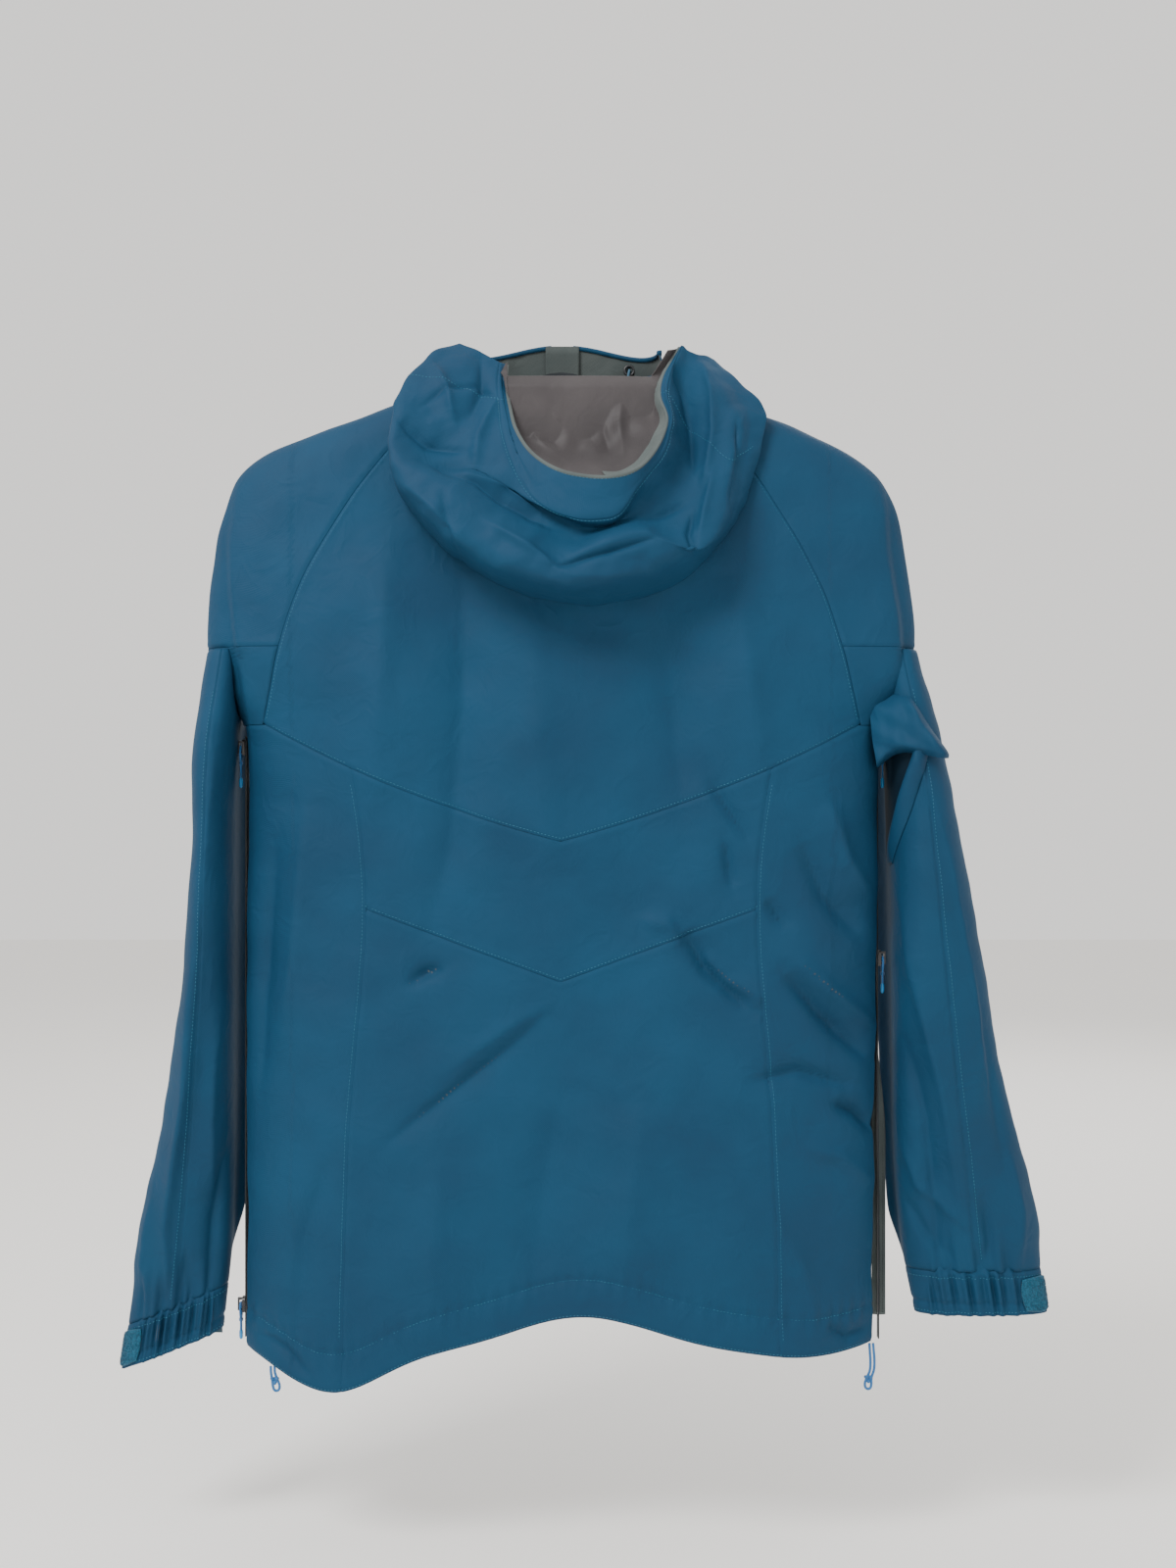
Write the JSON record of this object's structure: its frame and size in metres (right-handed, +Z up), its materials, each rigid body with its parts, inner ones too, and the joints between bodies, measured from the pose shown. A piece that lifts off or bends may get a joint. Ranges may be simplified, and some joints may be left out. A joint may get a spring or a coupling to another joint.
{
  "type": "hooded shell jacket",
  "caption": "Hooded hardshell jacket hung by its neck: raglan sleeves, chevron back seams, full side zips, folded-down hood, cord ends at the hem and hook-and-loop cuffs.",
  "frame": {"origin": "middle of the neck opening, level with the tops of the shoulders, where a hanger carries it", "axes": "+Z up, +Y out of the jacket's front, +X towards the wearer's right"},
  "size_m": [0.7083, 0.1658, 0.7898],
  "materials": {
    "shell": "taut matt weave",
    "facing": "matt knit",
    "lining": "smooth backer",
    "zip_tape": "coated tape",
    "loop_pile": "brushed loops",
    "cord": "braided",
    "tab": "moulded matt",
    "black_plastic": "moulded"
  },
  "bodies": {
    "jacket": {"back_yoke": "shell", "back_middle_panel": "shell", "back_lower_panel": "shell", "back_side_panel_left": "shell", "front_panel_left": "shell", "chest_panel_left": "shell", "shoulder_panel_left": "shell", "underarm_gusset_left": "shell", "collar_left": "shell", "collar_lining_left": "facing", "hood_side_left": "shell", "front_zip_left": "zip_tape", "side_zip_left_back": "zip_tape", "side_zip_left_front": "zip_tape", "hand_pocket_left_zip": "zip_tape", "hem_cord_left": "cord", "back_side_panel_right": "shell", "front_panel_right": "shell", "chest_panel_right": "shell", "shoulder_panel_right": "shell", "underarm_gusset_right": "shell", "collar_right": "shell", "collar_lining_right": "facing", "hood_side_right": "shell", "front_zip_right": "zip_tape", "side_zip_right_back": "zip_tape", "side_zip_right_front": "zip_tape", "hand_pocket_right_zip": "zip_tape", "hem_cord_right": "cord", "hang_loop": "shell", "front_storm_flap": "facing", "chest_pocket_zip": "zip_tape", "hood_cord_lock_barrel": "black_plastic", "hood_cord_loop": "cord"},
    "hood": {"hood_crown": "shell", "hood_lining": "lining"},
    "sleeve_left": {"sleeve_outer_left": "shell", "sleeve_under_left": "shell", "cuff_left": "shell", "cuff_loop_patch_left": "loop_pile"},
    "cuff_tab_left": {"cuff_tab_left": "tab"},
    "sleeve_right": {"sleeve_outer_right": "shell", "sleeve_under_right": "shell", "cuff_right": "shell", "cuff_loop_patch_right": "loop_pile"},
    "cuff_tab_right": {"cuff_tab_right": "tab"},
    "front_zip_slider": {"front_zip_slider": "black_plastic"},
    "front_zip_pull": {"front_zip_pull": "cord"},
    "side_zip_slider_left_upper": {"side_zip_slider_left_upper": "black_plastic"},
    "side_zip_pull_left_upper": {"side_zip_pull_left_upper": "cord"},
    "side_zip_slider_left_lower": {"side_zip_slider_left_lower": "black_plastic"},
    "side_zip_pull_left_lower": {"side_zip_pull_left_lower": "cord"},
    "hand_pocket_slider_left": {"hand_pocket_left_slider": "black_plastic"},
    "side_zip_slider_right_upper": {"side_zip_slider_right_upper": "black_plastic"},
    "side_zip_pull_right_upper": {"side_zip_pull_right_upper": "cord"},
    "side_zip_slider_right_lower": {"side_zip_slider_right_lower": "black_plastic"},
    "side_zip_pull_right_lower": {"side_zip_pull_right_lower": "cord"},
    "hand_pocket_slider_right": {"hand_pocket_right_slider": "black_plastic"},
    "chest_pocket_slider": {"chest_pocket_slider": "black_plastic"},
    "hood_cord_lock_plunger": {"hood_cord_lock_plunger": "black_plastic"}
  },
  "joints": [
    {"name": "hood_lift", "type": "hinge", "parent": "jacket", "child": "hood", "pos_m": [0, -0.042, 0.052], "axis": [-1, 0, 0], "range_deg": [0, 60]},
    {"name": "sleeve_right_raise", "type": "hinge", "parent": "jacket", "child": "sleeve_right", "pos_m": [0.2708, 0.008, -0.1862], "axis": [0, -1, 0], "range_deg": [0, 45]},
    {"name": "sleeve_left_raise", "type": "hinge", "parent": "jacket", "child": "sleeve_left", "pos_m": [-0.2708, 0.008, -0.1862], "axis": [0, 1, 0], "range_deg": [0, 45]},
    {"name": "cuff_tab_right_peel", "type": "hinge", "parent": "sleeve_right", "child": "cuff_tab_right", "pos_m": [0.2842, 0.0285, -0.673], "axis": [0, 0, 1], "range_deg": [0, 100]},
    {"name": "cuff_tab_left_peel", "type": "hinge", "parent": "sleeve_left", "child": "cuff_tab_left", "pos_m": [-0.2629, 0.0252, -0.701], "axis": [0, 0, -1], "range_deg": [0, 100]},
    {"name": "front_zip_slide", "type": "slide", "parent": "jacket", "child": "front_zip_slider", "axis": [0, 0.021, -0.9998], "range_m": [0, 0.66]},
    {"name": "front_zip_pull_swing", "type": "hinge", "parent": "front_zip_slider", "child": "front_zip_pull", "pos_m": [0, 0.0464, 0.022], "axis": [1, 0, 0], "range_deg": [0, 110]},
    {"name": "side_zip_left_upper_slide", "type": "slide", "parent": "jacket", "child": "side_zip_slider_left_upper", "axis": [0, 0, -1], "range_m": [0, 0.17]},
    {"name": "side_zip_left_lower_slide", "type": "slide", "parent": "jacket", "child": "side_zip_slider_left_lower", "axis": [0, 0, 1], "range_m": [0, 0.17]},
    {"name": "side_zip_left_upper_pull_swing", "type": "hinge", "parent": "side_zip_slider_left_upper", "child": "side_zip_pull_left_upper", "pos_m": [-0.2437, 0, -0.26], "axis": [1, 0, 0], "range_deg": [-25, 25]},
    {"name": "side_zip_left_lower_pull_swing", "type": "hinge", "parent": "side_zip_slider_left_lower", "child": "side_zip_pull_left_lower", "pos_m": [-0.2437, 0, -0.683], "axis": [1, 0, 0], "range_deg": [-25, 25]},
    {"name": "hand_pocket_left_slide", "type": "slide", "parent": "jacket", "child": "hand_pocket_slider_left", "axis": [0, 0, -1], "range_m": [0, 0.14]},
    {"name": "side_zip_right_upper_slide", "type": "slide", "parent": "jacket", "child": "side_zip_slider_right_upper", "axis": [0, 0, -1], "range_m": [0, 0.05]},
    {"name": "side_zip_right_lower_slide", "type": "slide", "parent": "jacket", "child": "side_zip_slider_right_lower", "axis": [0, 0, 1], "range_m": [-0.02, 0.07]},
    {"name": "side_zip_right_upper_pull_swing", "type": "hinge", "parent": "side_zip_slider_right_upper", "child": "side_zip_pull_right_upper", "pos_m": [0.2437, 0, -0.26], "axis": [1, 0, 0], "range_deg": [-25, 25]},
    {"name": "side_zip_right_lower_pull_swing", "type": "hinge", "parent": "side_zip_slider_right_lower", "child": "side_zip_pull_right_lower", "pos_m": [0.2437, 0, -0.42], "axis": [1, 0, 0], "range_deg": [-25, 25]},
    {"name": "hand_pocket_right_slide", "type": "slide", "parent": "jacket", "child": "hand_pocket_slider_right", "axis": [0, 0, -1], "range_m": [0, 0.14]},
    {"name": "chest_pocket_slide", "type": "slide", "parent": "jacket", "child": "chest_pocket_slider", "axis": [0, 0, -1], "range_m": [0, 0.12]},
    {"name": "hood_cord_lock_press", "type": "slide", "parent": "jacket", "child": "hood_cord_lock_plunger", "axis": [0, 0, -1], "range_m": [0, 0.0025], "stiffness_N_per_m": 800}
  ]
}
